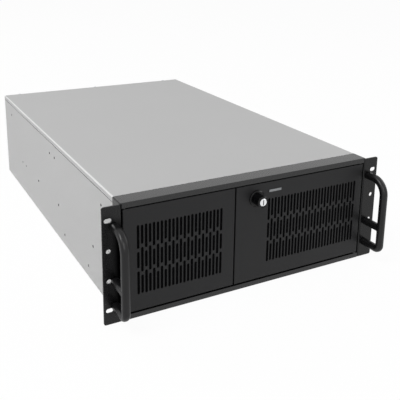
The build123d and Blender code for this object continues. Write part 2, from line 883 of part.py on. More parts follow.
def disk_cage():
    """Cage for narrow disks behind the front fan: a U with ledges."""
    half = disk_cage_width / 2
    length = (depth(disk_cage_start), depth(disk_cage_start + disk_cage_length))
    wall = block((half, half + sheet), length, (sheet, disk_cage_height))
    cage = both_sides(wall) + block((-half - sheet, half + sheet), length, (sheet, 2 * sheet))
    cage += block((-half - sheet, half + sheet), length, (disk_cage_height, disk_cage_height + sheet))
    rows = [disk_pitch * (index + 0.5) + 2 * sheet for index in range(disk_rows)]
    for side in (-half, half):
        for slot in cage_slots(side, rows, disk_cage_start, disk_cage_length):
            cage -= slot
    return Pos(left_vent_centre_x, 0, 0) * cage


def panel_front():
    return depth(frame_depth - sheet - panel_stand)


def usb_heights():
    return [usb_top_z - index * usb_pitch for index in range(usb_count)]


def lamp_places():
    first = panel_x - (lamp_count - 1) / 2 * lamp_pitch
    return [first + index * lamp_pitch for index in range(lamp_count)]


def switch_panel():
    """Raised panel with holes for buttons, lamps and sockets, and posts for its board."""
    start = panel_front()
    seat = depth(frame_depth - sheet)
    x_range = (panel_left, panel_left + panel_width)
    z_range = (panel_bottom, panel_bottom + panel_height)
    panel = block(x_range, (start, seat), z_range)
    panel = chamfer(panel.faces().sort_by(Axis.Y)[0].edges(), 1.0)
    panel -= block(
        (x_range[0] + panel_wall, x_range[1] - panel_wall),
        (start + panel_wall, seat),
        (z_range[0] + panel_wall, z_range[1] - panel_wall),
    )
    panel -= rod_y(panel_x, power_button_z, power_button_radius + button_gap, start, start + panel_wall)
    panel -= rod_y(panel_x, reset_button_z, reset_button_radius + button_gap, start, start + panel_wall)
    for x in lamp_places():
        panel -= rod_y(x, lamp_z, lamp_radius + screw_clearance, start, start + panel_wall)
    for z in usb_heights():
        panel -= Pos(panel_x, start + panel_wall / 2, z) * Box(usb_width, panel_wall, usb_height)
    for x, z in post_places():
        panel += rod_y(x, z, board_post_radius, start + panel_wall, depth(board_depth))
    return panel


def post_places():
    inset = board_post_inset + panel_wall
    for x in (panel_left + inset, panel_left + panel_width - inset):
        for z in (panel_bottom + inset, panel_bottom + panel_height - inset):
            yield x, z


def switch_board():
    """Small circuit board behind the switch panel."""
    gap = panel_wall + seat_gap
    return block(
        (panel_left + gap, panel_left + panel_width - gap),
        (depth(board_depth), depth(board_depth + board_thickness)),
        (panel_bottom + gap, panel_bottom + panel_height - gap),
    )


def button(z, radius):
    """Cap, retaining flange and stem; it moves back by its travel."""
    start = panel_front()
    flange_start = start + panel_wall + button_flange_gap
    flange_end = flange_start + button_flange_thickness
    cap = rod_y(panel_x, z, radius, start - button_stand, flange_end)
    cap = chamfer(cap.edges().filter_by(GeomType.CIRCLE).sort_by(Axis.Y)[0], 0.6)
    flange = rod_y(panel_x, z, radius + button_flange, flange_start, flange_end)
    stem = rod_y(panel_x, z, button_stem_radius, flange_end, depth(board_depth) - button_travel - seat_gap)
    return cap + flange + stem


def lamps():
    """Indicator lamps that stand on the board and end in the panel."""
    start = panel_front() - lamp_stand
    return group([rod_y(x, lamp_z, lamp_radius, start, depth(board_depth)) for x in lamp_places()])


def usb_sockets():
    """Metal shells with the contact tongue inside, carried by the board."""
    sockets = []
    start = panel_front()
    end = depth(board_depth)
    floor = end - usb_floor
    half_width = usb_width / 2 - screw_clearance
    half_height = usb_height / 2 - screw_clearance
    for z in usb_heights():
        x_range = (panel_x - half_width, panel_x + half_width)
        shell = block(x_range, (start, end), (z - half_height, z + half_height))
        shell -= block(
            (x_range[0] + usb_wall, x_range[1] - usb_wall),
            (start, floor),
            (z - half_height + usb_wall, z + half_height - usb_wall),
        )
        shell += block(
            (x_range[0] + 3 * usb_wall, x_range[1] - 3 * usb_wall),
            (start + usb_wall, floor),
            (z, z + usb_tongue),
        )
        sockets.append(shell)
    return group(sockets)


def card_places():
    return [first_card_x - index * card_pitch for index in range(card_count)]


def card_shelf_range():
    reach = slot_cover_width / 2 + card_shelf_overhang
    return card_places()[-1] - reach, card_places()[0] + reach


def rear_panel():
    """Rear panel with its openings, fan grilles, side flanges and card shelf."""
    wall_inner = body_half - sheet
    lip_inner = wall_inner - sheet
    lip_bottom = body_height - cover_flange_height - lip_height
    y_range = (rear_y - sheet, rear_y)
    flange_run = (rear_y - rear_flange, rear_y)
    panel = block((-wall_inner, wall_inner), y_range, (sheet, lip_bottom))
    panel += block((-lip_inner, lip_inner), y_range, (lip_bottom, body_height - 2 * sheet))
    panel += both_sides(block((wall_inner - sheet, wall_inner), flange_run, (sheet, lip_bottom)))
    rim_inner = wall_inner - rim_width
    panel += block((-rim_inner, rim_inner), flange_run, (body_height - 2 * sheet, body_height - sheet))
    shelf_run = (rear_y - sheet - card_shelf_depth, rear_y)
    panel += block(card_shelf_range(), shelf_run, (card_shelf_z - sheet, card_shelf_z))
    cut = (rear_y - 2 * sheet, rear_y + sheet)
    panel -= block((port_left, port_left + port_width), cut, (port_bottom, port_bottom + port_height))
    supply_rise = (supply_bottom, supply_bottom + supply_height)
    panel -= block((supply_left, supply_left + supply_width), cut, supply_rise)
    half = card_opening_width / 2
    card_rise = (card_opening_bottom, card_opening_bottom + card_opening_height)
    for x in card_places():
        panel -= block((x - half, x + half), cut, card_rise)
        screw_y = rear_y - sheet - card_screw_setback
        panel -= rod_z(x, screw_y, card_screw_radius + thread_gap, card_shelf_z - sheet, card_shelf_z)
    for x in rear_fan_centres_x:
        panel -= grille_cuts(x, rear_fan_z, rear_fan_size / 2 - fan_wall, *cut)
    for x in thumb_positions():
        panel -= rod_y(x, thumb_z(), thumb_shank_radius + thread_gap, *cut)
    return panel


def slot_covers():
    """Bent steel covers behind the card openings, each with a tab under the shelf."""
    covers = []
    half = slot_cover_width / 2
    face = rear_y - sheet
    top = card_shelf_z - sheet
    for x in card_places():
        blade = block((x - half, x + half), (face - slot_cover_thickness, face), (2 * sheet, top))
        tab_run = (face - card_shelf_depth, face)
        tab = block((x - half, x + half), tab_run, (top - slot_cover_thickness, top))
        hole = rod_z(x, face - card_screw_setback, card_screw_radius + thread_gap, top - sheet, top)
        covers.append(blade + tab - hole)
    return group(covers)


def card_screws():
    screws = []
    y = rear_y - sheet - card_screw_setback
    bottom = card_shelf_z - sheet - slot_cover_thickness
    for x in card_places():
        head = rod_z(x, y, card_screw_head_radius, card_shelf_z, card_shelf_z + card_screw_head_height)
        screws.append(head + rod_z(x, y, card_screw_radius, bottom, card_shelf_z))
    return group(screws)


def standoffs():
    posts = []
    for share in standoff_shares:
        x = standoff_start + share * standoff_run
        for row in standoff_rows:
            top = sheet + standoff_height
            posts.append(rod_z(x, rear_y - row, standoff_radius, sheet, top))
    return group(posts)


def card_bar():
    """Channel across the case that holds the cards down, with a foot against each side."""
    lip_inner = body_half - 2 * sheet
    middle = rear_y - bar_setback
    run = (middle - bar_width / 2, middle + bar_width / 2)
    height = (bar_top - bar_height, bar_top)
    bar = block((-lip_inner, lip_inner), run, (bar_top - sheet, bar_top))
    for y in run:
        inward = sheet if y < middle else -sheet
        bar += block((-lip_inner, lip_inner), tuple(sorted((y, y + inward))), height)
    return bar + both_sides(block((lip_inner - sheet, lip_inner), run, height))


def supply_shelf():
    """Folded tray under the power supply."""
    middle = supply_left + supply_width / 2
    run = (rear_y - rear_flange - seat_gap - shelf_length, rear_y - rear_flange - seat_gap)
    top = supply_bottom - supply_gap
    half = shelf_width / 2
    shelf = block((-half, half), run, (top - sheet, top))
    shelf += both_sides(block((half - sheet, half), run, (sheet, top)))
    return Pos(middle, 0, 0) * shelf


os.makedirs("parts", exist_ok=True)

save("chassis_pan", chassis_pan())
save("top_cover", top_cover())
save("cover_thumbscrews", cover_thumbscrews())
save("front_frame", front_frame())
save("right_ear", right_ear())
save("left_ear", mirror(right_ear(), about=Plane.YZ))
save("ear_screws", ear_screws())
save("right_handle", right_handle())
save("left_handle", mirror(right_handle(), about=Plane.YZ))
save("handle_screws", handle_screws())
save("left_door", left_door())
save("right_door", right_door())
save("hinge_pins", hinge_pins())
save("door_washers", door_washers())
save("left_filter", foam_filter(left_vent_centre_x, left_vent_columns))
save("right_filter", foam_filter(right_vent_centre_x, right_vent_columns))
save("left_filter_frame", filter_frame(left_vent_centre_x, left_vent_columns))
save("right_filter_frame", filter_frame(right_vent_centre_x, right_vent_columns))
save("lock_body", lock_body())
save("lock_nut", lock_nut())
save("lock_core", lock_core())
save("lock_cam", lock_cam())
save("lock_keeper", lock_keeper())
save("magnet_catch", magnet_catch())
save("drive_cage", drive_cage())
save("bay_covers", bay_covers())
save("disk_cage", disk_cage())
save("switch_panel", switch_panel())
save("switch_board", switch_board())
save("power_button", button(power_button_z, power_button_radius))
save("reset_button", button(reset_button_z, reset_button_radius))
save("lamps", lamps())
save("usb_sockets", usb_sockets())
save("rear_panel", rear_panel())
save("slot_covers", slot_covers())
save("card_screws", card_screws())
save("standoffs", standoffs())
save("card_bar", card_bar())
save("supply_shelf", supply_shelf())

front_fan = (left_vent_centre_x, vent_centre_z, front_fan_size, depth(frame_depth))
save("front_fan_frame", fan_frame(*front_fan))
save("front_fan_rotor", fan_rotor(*front_fan))
rear_fan_start = rear_y - sheet - fan_thickness
for name, x in zip(("right", "left"), rear_fan_centres_x):
    save(f"rear_{name}_fan_frame", fan_frame(x, rear_fan_z, rear_fan_size, rear_fan_start))
    save(f"rear_{name}_fan_rotor", fan_rotor(x, rear_fan_z, rear_fan_size, rear_fan_start))
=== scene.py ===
"""Rackmount server case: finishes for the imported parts, and the pieces that need softer or finer shapes."""
import json
import math

import bmesh
import bpy
from bpy.props import FloatProperty, FloatVectorProperty, IntProperty, PointerProperty
from mathutils import Matrix, Vector


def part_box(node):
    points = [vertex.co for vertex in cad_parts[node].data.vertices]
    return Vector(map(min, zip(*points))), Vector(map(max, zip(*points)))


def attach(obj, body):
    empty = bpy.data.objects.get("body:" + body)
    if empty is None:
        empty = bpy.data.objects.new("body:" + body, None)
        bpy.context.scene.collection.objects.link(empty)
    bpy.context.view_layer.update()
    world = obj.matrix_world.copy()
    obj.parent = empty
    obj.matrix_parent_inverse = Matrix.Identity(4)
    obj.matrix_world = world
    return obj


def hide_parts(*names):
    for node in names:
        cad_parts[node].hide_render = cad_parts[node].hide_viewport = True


bl_info = {
    "name": "Rackmount Server Case",
    "version": (1, 0, 0),
    "blender": (4, 5, 0),
    "location": "View3D > Sidebar > Server Case",
    "description": "Dresses a rackmount server case with its handles, lock, screws, foam and paint",
    "category": "Object",
}

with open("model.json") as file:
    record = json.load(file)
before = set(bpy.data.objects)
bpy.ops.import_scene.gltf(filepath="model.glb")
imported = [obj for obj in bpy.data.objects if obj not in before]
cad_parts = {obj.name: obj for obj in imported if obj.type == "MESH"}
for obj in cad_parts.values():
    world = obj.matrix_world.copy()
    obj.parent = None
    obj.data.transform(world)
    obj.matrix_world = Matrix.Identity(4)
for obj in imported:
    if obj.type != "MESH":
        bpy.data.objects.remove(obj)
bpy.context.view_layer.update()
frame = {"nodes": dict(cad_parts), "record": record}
nodes = frame["nodes"]

# Front plane of the rack ears, along Y, from which the legs of the handles start
FRONT = round(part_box("left_ear")[0].y, 5)

# Rounding of the small blocks: the bare plate and the shutter in the key slot
SMALL_EDGE = 0.0003

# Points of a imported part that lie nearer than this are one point
SAME_POINT = 0.000001

# Foam pads: faces across and up, and the swell of the face in radians per metre sideways and upwards,
# which makes waves 33 mm and 27 mm long
FOAM_FACES = (44, 30)
FOAM_SWELL = (190, 230)

# The range that most of a noise pattern keeps to
MOST_OF_NOISE = (0.3, 0.7)

# Lamps: place, side of the square, and watts
LAMPS = {
    "key_lamp": ((-3.0, -1.0, 4.2), 2.2, 136.0),
    "front_lamp": ((-0.6, -3.0, 1.6), 1.6, 24.0),
    "right_lamp": ((2.6, -0.6, 1.5), 1.6, 14.0),
    "rear_lamp": ((-1.7, 3.0, 2.3), 1.8, 24.0),
}
LAMP_TARGET = Vector((0.0, 0.0, 0.09))

# Camera, fitted to the corners and holes that the photo shows: place, turn in degrees, lens in
# millimetres, and shift upwards as a share of the picture
CAMERA_PLACE = (-0.50813, -1.10934, 0.51431)
CAMERA_TURN = (75.6166, -0.7205, -28.3537)
CAMERA_LENS = 58.466
CAMERA_SHIFT = -0.225

# Floor: half its side, and how far it lies under the case so that the two faces don't meet
FLOOR_HALF = 6.0
FLOOR_GAP = 0.0004

# Share of the floor's look that is plain white; the rest keeps the shadow of the case
FLOOR_WHITE = 0.95

# How strongly the surroundings light the case; where they are seen, they have the strength 1
SKY_LIGHT = 0.34

# Parts whose finish differs from the one of their material slot
OWN_FINISHES = {
    "front_frame": "black_frame",
    "chassis_pan": "grey_pan",
    "top_cover": "grey_cover",
    "hinge_pins": "black_screw",
    "left_ear": "black_left_ear",
    "right_ear": "black_ear",
}


def linear(code):
    """The linear colour of an sRGB hex code."""
    shares = [int(code[start:start + 2], 16) / 255 for start in (1, 3, 5)]
    return [s / 12.92 if s <= 0.04045 else ((s + 0.055) / 1.055) ** 2.4 for s in shares]


def opaque(tone):
    """A tone as the four numbers that a socket takes."""
    return (*tone, 1.0)


def shaded(tone, share):
    """A tone made darker or lighter by a share, as the four numbers that a socket takes."""
    return (*(min(1.0, channel * share) for channel in tone), 1.0)


def length(name, description, default, smallest=0.0001):
    """A size in metres that the panel shows."""
    return FloatProperty(name=name, description=description, default=default, min=smallest,
                         unit="LENGTH", precision=4)


def colour(name, description, code):
    """A colour that the panel shows."""
    return FloatVectorProperty(name=name, description=description, default=linear(code),
                               subtype="COLOR", size=3, min=0.0, max=1.0)


class CaseColours(bpy.types.PropertyGroup):
    """Colours of the finishes that a user is likely to change."""
    grey_coat: colour("Grey coat", "Powder coat of the cover, sides and rear", "#B6B6B6")
    black_coat: colour("Black coat", "Textured powder coat of the doors", "#1A1A1B")
    handle_coat: colour("Handle coat", "Smooth coat of the cast handles", "#0D0D0E")
    plastic: colour("Plastic", "Moulded plastic of the fans, blanks and switches", "#242425")
    foam: colour("Foam", "Air filter foam behind the vents", "#060607")
    board: colour("Board", "Solder mask of the small circuit board", "#1C5A3A")


class HandleSizes(bpy.types.PropertyGroup):
    """Sizes of the two cast handles."""
    width: length("Width", "Width of the bar seen from the front", 0.012)
    leg: length("Leg", "Thickness of the bar and legs seen from the side", 0.012)
    top_bend: length("Top bend", "Bend radius on the middle line at the top leg", 0.024)
    bottom_bend: length("Bottom bend", "Bend radius on the middle line at the bottom leg", 0.0075)
    middle_leg: length("Middle leg", "Height of the middle leg above the base", 0.065)
    edge: length("Edge", "Rounding of the long edges", 0.0049)
    grid: length("Grid", "Grid of the remesh that melts the legs into the bar", 0.0007)


class PlateSizes(bpy.types.PropertyGroup):
    """Size and place of the bare plate beside the lock."""
    width: length("Width", "Width of the plate", 0.0222)
    height: length("Height", "Height of the plate", 0.0038)
    thickness: length("Thickness", "How far the plate stands off the door", 0.0008)
    aside: length("Aside", "From the lock's axis to the middle of the plate, sideways", 0.0332)
    above: length("Above", "From the lock's axis to the middle of the plate, upwards", 0.0083)


class FoamSizes(bpy.types.PropertyGroup):
    """How the foam pads give way."""
    unevenness: length("Unevenness", "How far the face wanders from flat", 0.0002)
    soft_edge: length("Soft edge", "Rounding of the cut edge", 0.0016)
    pinch: length("Pinch", "How far the frame presses into the foam", 0.0006)
    held_edge: length("Held edge", "Width of the frame's rim", 0.0070)
    held_bar: length("Held bar", "Half the width of the frame's bars", 0.0025)


class ScrewSizes(bpy.types.PropertyGroup):
    """Sizes of the screws: heads, the rise of their rounded tops, and shank radii."""
    thumb_head: length("Thumbscrew head", "Height of the knurled heads on the cover", 0.0070)
    thumb_teeth: IntProperty(name="Thumbscrew teeth", description="Ridges round a knurled head", default=32,
                             min=8, max=90)
    thumb_shank: length("Thumbscrew shank", "Radius of the thumbscrews' shanks", 0.0020)
    handle_head: length("Handle screw head", "Height of the pan heads behind the ears", 0.0026)
    handle_dome: length("Handle screw dome", "Rise of the pan heads' tops", 0.0008)
    handle_shank: length("Handle screw shank", "Radius of the handle screws' shanks", 0.0025)
    card_head: length("Card screw head", "Height of the heads on the card shelf", 0.0022)
    card_dome: length("Card screw dome", "Rise of the card screws' tops", 0.0006)
    card_shank: length("Card screw shank", "Radius of the card screws' shanks", 0.0016)
    ear_head: length("Ear screw head", "Height of the flush heads in the sides", 0.0003)
    ear_shank: length("Ear screw shank", "Radius of the ear screws' shanks", 0.0020)


class ShutterSizes(bpy.types.PropertyGroup):
    """Sizes of the sprung shutter inside the key slot."""
    width: length("Width", "Width of the shutter", 0.0010)
    depth: length("Depth", "Thickness of the shutter along the key", 0.0009)
    height: length("Height", "Height of the shutter", 0.0066)
    setback: length("Setback", "From the face of the lock to the middle of the shutter", 0.0012)


def add_node(tree, kind, inputs=None, **settings):
    """Adds a shader node, sets its options, and fills or links its inputs."""
    made = tree.nodes.new(kind)
    for name, value in settings.items():
        setattr(made, name, value)
    for socket, value in (inputs or {}).items():
        if isinstance(value, bpy.types.NodeSocket):
            tree.links.new(value, made.inputs[socket])
        else:
            made.inputs[socket].default_value = value
    return made


def new_finish(name, **values):
    """A material with its Principled shader, and the Object coordinates that its patterns read."""
    finish = bpy.data.materials.new(name)
    finish.use_nodes = True
    tree = finish.node_tree
    shader = tree.nodes["Principled BSDF"]
    for socket, value in values.items():
        shader.inputs[socket.replace("_", " ")].default_value = value
    where = add_node(tree, "ShaderNodeTexCoord").outputs["Object"]
    return finish, tree, shader, where


def per_metre(millimetres):
    """Texture scale at which one feature takes this many millimetres."""
    return 1000.0 / millimetres


def noise(tree, where, millimetres, detail=2.0, roughness=0.5):
    """Soft noise whose features take this many millimetres."""
    return add_node(tree, "ShaderNodeTexNoise", {"Vector": where, "Scale": per_metre(millimetres),
                                                 "Detail": detail, "Roughness": roughness}).outputs["Fac"]


def calculated(tree, operation, first, second):
    """The result of one sum, product or comparison of two values."""
    return add_node(tree, "ShaderNodeMath", {0: first, 1: second}, operation=operation).outputs[0]


def ranged(tree, value, given=(0.0, 1.0), wanted=(0.0, 1.0)):
    """Turns one range of a value into another, and holds it at the ends."""
    return add_node(tree, "ShaderNodeMapRange", {"Value": value, "From Min": given[0], "From Max": given[1],
                                                 "To Min": wanted[0], "To Max": wanted[1]}).outputs["Result"]


def mixed(tree, share, first, second):
    """Two tones mixed by a share."""
    return add_node(tree, "ShaderNodeMix", {"Factor": share, "A": first, "B": second},
                    data_type="RGBA").outputs["Result"]


def relief(tree, height, strength, metres):
    """Bumps that follow a value, this many metres from its low to its high."""
    return add_node(tree, "ShaderNodeBump", {"Height": height, "Strength": strength,
                                             "Distance": metres}).outputs["Normal"]


def feed(tree, shader, tone, gloss=None, bumps=None):
    """Feeds the shader with a tone, and with a roughness and a relief if they are given."""
    tree.links.new(tone, shader.inputs["Base Color"])
    if gloss:
        tree.links.new(gloss, shader.inputs["Roughness"])
    if bumps:
        tree.links.new(bumps, shader.inputs["Normal"])


def powder_coat(name, tint, roughness, grain_mm, relief_mm, mottling, specular=0.5):
    """Powder coat: baked polyester, even in colour, with a fine orange peel that breaks up its sheen."""
    finish, tree, shader, where = new_finish(name, Specular_IOR_Level=specular)
    # The melted grains of the real coat are under a millimetre wide; they are drawn wider so that they show.
    grain = noise(tree, where, grain_mm, detail=3.0, roughness=0.6)
    # Film thickness wanders over a hand's width, which shifts the shade very slightly.
    film = noise(tree, where, 140.0)
    shade = ranged(tree, calculated(tree, "ADD", grain, film), [2 * end for end in MOST_OF_NOISE])
    tone = mixed(tree, shade, shaded(tint, 1 - mottling), shaded(tint, 1 + mottling))
    gloss = ranged(tree, grain, MOST_OF_NOISE, (roughness - 0.05, roughness + 0.05))
    feed(tree, shader, tone, gloss, relief(tree, grain, 0.6, relief_mm / 1000))
    return finish


def change_over(finish, share, tone, specular=None):
    """Goes over to another tone, and another sheen if one is given, by the share of a socket."""
    tree = finish.node_tree
    shader = tree.nodes["Principled BSDF"]
    coat = shader.inputs["Base Color"].links[0].from_socket
    feed(tree, shader, mixed(tree, share, coat, opaque(tone)))
    if specular is not None:
        level = shader.inputs["Specular IOR Level"]
        tree.links.new(ranged(tree, share, wanted=(level.default_value, specular)), level)
    return finish


def aside_and_up(tree):
    """Distance from the middle plane and height above the base, as two sockets."""
    where = add_node(tree, "ShaderNodeTexCoord").outputs["Object"]
    spot = add_node(tree, "ShaderNodeSeparateXYZ", {"Vector": where})
    aside = add_node(tree, "ShaderNodeMath", {0: spot.outputs["X"]}, operation="ABSOLUTE")
    return aside.outputs[0], spot.outputs["Z"]


def bare_edge_and_painted_light(finish, inner, outer, lowest, tone, specular=None):
    """Paints another tone between two distances from the middle plane, above a height: bare edges and painted
    light.
    """
    tree = finish.node_tree
    aside, up = aside_and_up(tree)
    within = add_node(tree, "ShaderNodeMath", {0: aside, 1: (inner + outer) / 2, 2: (outer - inner) / 2},
                      operation="COMPARE")
    above = calculated(tree, "GREATER_THAN", up, lowest)
    return change_over(finish, calculated(tree, "MULTIPLY", within.outputs[0], above), tone, specular)


def painted_shade_inward(finish, inner, outer, bottom, top, fade, tone, specular):
    """Paints shade that deepens towards the middle plane, between two heights with soft ends."""
    tree = finish.node_tree
    aside, up = aside_and_up(tree)
    inward = ranged(tree, aside, (outer, inner))
    above = ranged(tree, up, (bottom, bottom + fade))
    below = ranged(tree, up, (top, top - fade))
    between = calculated(tree, "MULTIPLY", above, below)
    return change_over(finish, calculated(tree, "MULTIPLY", between, inward), tone, specular)


def plated_metal(name, light, dark, roughness, streak_mm, cloud_mm):
    """Plated or turned metal: bright, with faint streaks from rolling or turning and soft cloudy patches."""
    finish, tree, shader, where = new_finish(name, Metallic=1.0)
    # Scaled down along Y, the noise is drawn out into streaks from front to rear; end-on they look grained.
    drawn_out = add_node(tree, "ShaderNodeMapping", {"Vector": where, "Scale": (1.0, 0.03, 1.0)})
    streaks = noise(tree, drawn_out.outputs["Vector"], streak_mm)
    clouds = noise(tree, where, cloud_mm, detail=3.0)
    tone = mixed(tree, clouds, opaque(linear(light)), opaque(linear(dark)))
    gloss = ranged(tree, streaks, MOST_OF_NOISE, (roughness * 0.75, roughness * 1.25))
    feed(tree, shader, tone, gloss, relief(tree, streaks, 0.25, 0.00002))
    return finish


def moulded_plastic(name, tint, roughness, grain_mm):
    """Moulded ABS or nylon: matt skin with the fine pits that a spark-eroded mould leaves."""
    finish, tree, shader, where = new_finish(name)
    pits = add_node(tree, "ShaderNodeTexVoronoi", {"Vector": where, "Scale": per_metre(grain_mm)})
    # The melt cools in patches about 30 mm wide, which shifts shade and sheen a little.
    flow = noise(tree, where, 30.0)
    tone = mixed(tree, flow, shaded(tint, 0.9), shaded(tint, 1.12))
    gloss = ranged(tree, flow, wanted=(roughness - 0.06, roughness + 0.06))
    feed(tree, shader, tone, gloss, relief(tree, pits.outputs["Distance"], 0.3, 0.00008))
    return finish


def open_cell_foam(tint):
    """Reticulated polyurethane foam: a mesh of soft struts round dark pores, with no sheen at all."""
    finish, tree, shader, where = new_finish("open_cell_foam", Roughness=0.95, Specular_IOR_Level=0.05)
    # Air filter foam has about one pore a millimetre; the pores are drawn 2.2 mm wide so that they show.
    pores = add_node(tree, "ShaderNodeTexVoronoi", {"Vector": where, "Scale": per_metre(2.2)},
                     feature="DISTANCE_TO_EDGE")
    # The distance is counted in pores: a strut fades out a quarter of a pore from its middle line.
    struts = ranged(tree, pores.outputs["Distance"], (0.0, 0.25), (1.0, 0.0))
    # The pores are painted far darker than the struts: painted shade in the holes of the foam.
    tone = mixed(tree, struts, shaded(tint, 0.25), shaded(tint, 1.7))
    feed(tree, shader, tone, bumps=relief(tree, struts, 0.9, 0.001))
    return finish


def solder_mask_board(tint):
    """Fibreglass board under solder mask: glossy green, with slightly raised copper tracks below the film."""
    finish, tree, shader, where = new_finish("solder_mask_board", Coat_Weight=0.4, Coat_Roughness=0.1)
    upright = add_node(tree, "ShaderNodeMapping", {"Vector": where, "Rotation": (math.pi / 2, 0, 0)})
    # The mortar lines of a brick pattern are the tracks, and its bricks are the board between them.
    tracks = add_node(tree, "ShaderNodeTexBrick", {"Vector": upright.outputs["Vector"],
                                                   "Scale": per_metre(9.0), "Mortar Size": 0.06,
                                                   "Color1": shaded(tint, 0.9), "Color2": shaded(tint, 1.05),
                                                   "Mortar": shaded(tint, 1.7)})
    gloss = ranged(tree, noise(tree, where, 12.0), wanted=(0.25, 0.45))
    feed(tree, shader, tracks.outputs["Color"], gloss, relief(tree, tracks.outputs["Fac"], 0.3, 0.00004))
    return finish


def lamp_lens():
    """Clear epoxy lamp: a smooth milky lens that lets light into it."""
    finish, tree, shader, where = new_finish("epoxy_lamp_lens", Roughness=0.15, Subsurface_Weight=0.5,
                                             Subsurface_Scale=0.002, Coat_Weight=0.3)
    haze = noise(tree, where, 2.0)
    feed(tree, shader, mixed(tree, haze, opaque(linear("#B9D6B4")), opaque(linear("#D6E6CF"))))
    return finish


def grey_finishes(coat):
    """The light grey powder coat of the cover, the pan and the rear."""
    side, _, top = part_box("top_cover")[1]
    powder = {"roughness": 0.55, "grain_mm": 3.0, "relief_mm": 0.03, "mottling": 0.012, "specular": 0.3}
    return {
        # Steel sheet under light grey polyester powder: satin, even, almost no texture at arm's length.
        "grey_paint": powder_coat("powder_coat_light_grey", coat, **powder),
        # The same powder on the pierced pan; hole walls, cut edges and inner side faces are dark: bare steel
        # and painted shade.
        "grey_pan": bare_edge_and_painted_light(powder_coat("powder_coat_with_bare_edges_and_painted_hole_shade", coat, **powder),
                          inner=side - 0.0025, outer=side - 0.00005, lowest=0.008, tone=linear("#1E1F20")),
        # The same powder on the cover, with a painted highlight: its two long folds are painted as pale
        # lines.
        "grey_cover": bare_edge_and_painted_light(powder_coat("powder_coat_with_painted_fold_highlight", coat, **powder),
                            inner=side - 0.0020, outer=side + 0.001, lowest=top - 0.0016,
                            tone=linear("#DEDEDE")),
    }


def black_finishes(colours):
    """The black coats of the doors, the frame round them, the ears, the handles, the lock and the screws."""
    side, _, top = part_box("top_cover")[1]
    handle_low, handle_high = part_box("left_handle")
    # Distances of the left handle's inner and outer side from the middle plane
    handle_near, handle_far = -handle_high.x, -handle_low.x
    ear = {"roughness": 0.28, "grain_mm": 2.4, "relief_mm": 0.02, "mottling": 0.10, "specular": 0.27}
    return {
        # Fine-texture black powder: grainy, so its sheen is wide and soft.
        "black_paint": powder_coat("powder_coat_black_textured", colours.black_coat, roughness=0.42,
                                   grain_mm=1.6, relief_mm=0.05, mottling=0.10, specular=0.25),
        # The folded frame round the doors is coated smoother, so its top face picks up the bright room.
        # Its two end faces are painted darker and duller: painted shade at the ends of the frame.
        "black_frame": bare_edge_and_painted_light(powder_coat("powder_coat_black_frame_with_painted_end_shade", linear("#121213"), roughness=0.27,
                                         grain_mm=2.4, relief_mm=0.012, mottling=0.06),
                             inner=side - 0.0008, outer=side + 0.001, lowest=top - 0.03,
                             tone=linear("#0B0B0C"), specular=0.12),
        # The right ear's tone is a shade deeper than the frame's.
        "black_ear": powder_coat("powder_coat_black_ear", linear("#0E0E0F"), **ear),
        # The left one has the frame's tone; behind the handle it turns darker and duller towards the door,
        # which is painted shade from the handle.
        "black_left_ear": painted_shade_inward(powder_coat("powder_coat_black_left_ear_with_painted_handle_shade", linear("#121213"), **ear),
                                  inner=handle_near + 0.001, outer=handle_far + 0.008,
                                  bottom=handle_low.z - 0.0095, top=handle_high.z + 0.0085, fade=0.018,
                                  tone=linear("#020202"), specular=0.0),
        # Smooth coat on die-cast aluminium: closed and even, so the bars carry long soft highlights.
        "black_handle": powder_coat("powder_coat_on_cast_aluminium", colours.handle_coat, roughness=0.34,
                                    grain_mm=6.0, relief_mm=0.015, mottling=0.06, specular=0.33),
        # Black nickel over a polished zinc casting: near black, with sharp small highlights.
        "black_lock": powder_coat("black_nickel_on_zinc_casting", linear("#050506"), roughness=0.22,
                                  grain_mm=2.0, relief_mm=0.02, mottling=0.08, specular=0.22),
        # Black oxide on steel screws: a dark satin skin that is a little blotchy.
        "black_screw": powder_coat("black_oxide_on_steel", linear("#252526"), roughness=0.38,
                                   grain_mm=1.2, relief_mm=0.02, mottling=0.12),
    }


def make_finishes(colours):
    """Every finish by its name: one for each material slot of the record, and those of single parts."""
    return {
        **grey_finishes(colours.grey_coat),
        **black_finishes(colours),
        # Zinc plate on steel sheet: cool grey and half dull, clouded, with faint rolling streaks.
        "zinc": plated_metal("zinc_plate_on_steel", "#C9CCCF", "#A9ADB0", 0.34, 1.0, 18.0),
        # Chrome plate on the lock core: white and sharp, with a very fine grain.
        "chrome": plated_metal("chrome_plate_on_lock", "#F0F1F2", "#DADCDE", 0.12, 0.6, 6.0),
        # Aluminium sheet, brushed and anodised grey: softer and darker than plating, finely grained.
        "anodised": plated_metal("brushed_anodised_aluminium", "#8E9092", "#7C7E80", 0.42, 0.5, 8.0),
        # Turned brass standoffs: warm yellow and fairly bright, finely marked.
        "brass": plated_metal("turned_brass", "#CBA763", "#B38E4C", 0.28, 0.6, 8.0),
        # Moulded ABS of fans, blanks and switches: matt and pitted. Nylon is darker and a little smoother.
        "black_plastic": moulded_plastic("moulded_abs_black", colours.plastic, 0.50, 0.8),
        "nylon": moulded_plastic("moulded_nylon_black", linear("#161616"), 0.45, 0.8),
        "foam": open_cell_foam(colours.foam),
        "board": solder_mask_board(colours.board),
        "lamp": lamp_lens(),
    }


# The first operator fills this, and the others take their finishes from it
finishes = {}


def paint(obj, name):
    """Gives an object the named finish in place of any other."""
    if not obj.material_slots:
        obj.data.materials.append(None)
    for place in obj.material_slots:
        place.material = finishes[name]


def settle(name, shape, slot, body, replaces=(), finish=None):
    """Turns a bmesh into a piece that rides on its body, in the finish of its slot unless one is named."""
    bmesh.ops.recalc_face_normals(shape, faces=shape.faces)
    for face in shape.faces:
        face.smooth = True
    mesh = bpy.data.meshes.new(name)
    shape.to_mesh(mesh)
    shape.free()
    piece = bpy.data.objects.new(name, mesh)
    bpy.context.scene.collection.objects.link(piece)
    mesh.materials.append(finishes[finish or slot])
    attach(piece, body)
    if replaces:
        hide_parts(*replaces)
    return piece


